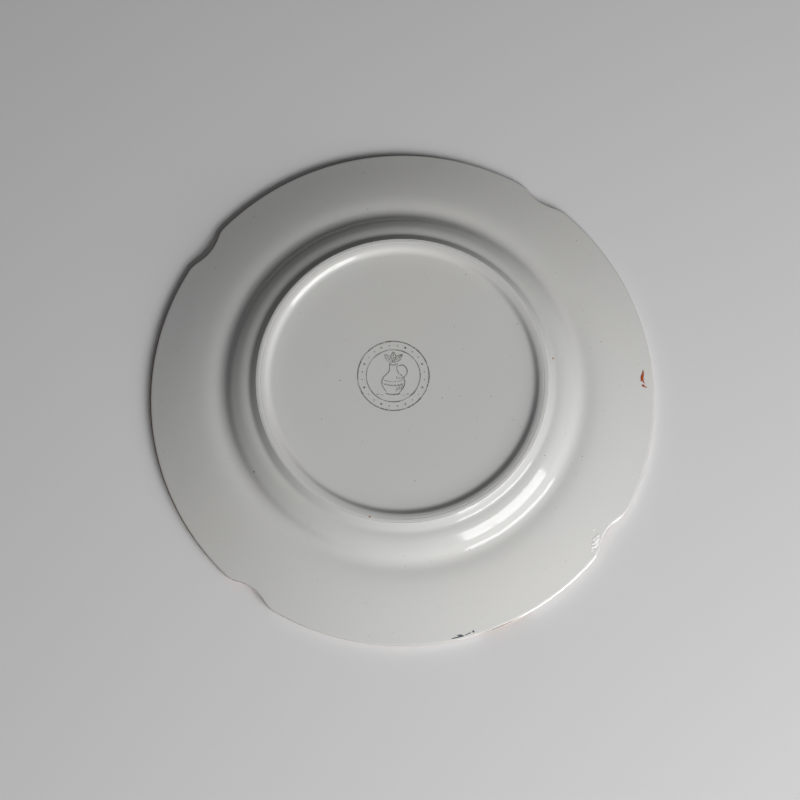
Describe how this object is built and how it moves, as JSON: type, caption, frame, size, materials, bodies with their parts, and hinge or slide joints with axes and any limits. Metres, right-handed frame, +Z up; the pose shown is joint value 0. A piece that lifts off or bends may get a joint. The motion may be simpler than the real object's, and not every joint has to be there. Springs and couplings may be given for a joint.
{
  "type": "decorated plate",
  "caption": "Round glazed earthenware plate with a notched rim, a deep shoulder and a foot ring, a printed mark under its base and enamel sprigs on its face.",
  "frame": {"origin": "middle of the plane that the foot ring stands on", "axes": "+Z up out of the face, along the plate's axis; the four notches lie midway between the X and Y axes"},
  "size_m": [0.2102, 0.2102, 0.0206],
  "materials": {
    "biscuit_clay": "matt fired earthenware, bare on the foot ring's crest",
    "white_glaze": "glossy white glaze, slightly uneven",
    "brown_enamel": "thin glossy enamel line, worn at the lip",
    "red_enamel": "glossy brushed enamel, denser at its edges",
    "blue_enamel": "glossy brushed enamel, denser at its edges",
    "ochre_enamel": "glossy enamel dots",
    "olive_print": "fine printed lines, broken in places"
  },
  "bodies": {
    "root": {"clay_body": "biscuit_clay", "outer_glaze": "white_glaze", "base_glaze": "white_glaze", "rim_line": "brown_enamel", "well_line": "brown_enamel", "face_blossoms": "red_enamel", "face_leaves": "blue_enamel", "face_berries": "ochre_enamel", "base_mark": "olive_print", "red_fleck": "red_enamel", "blue_smudge": "blue_enamel"}
  },
  "joints": []
}
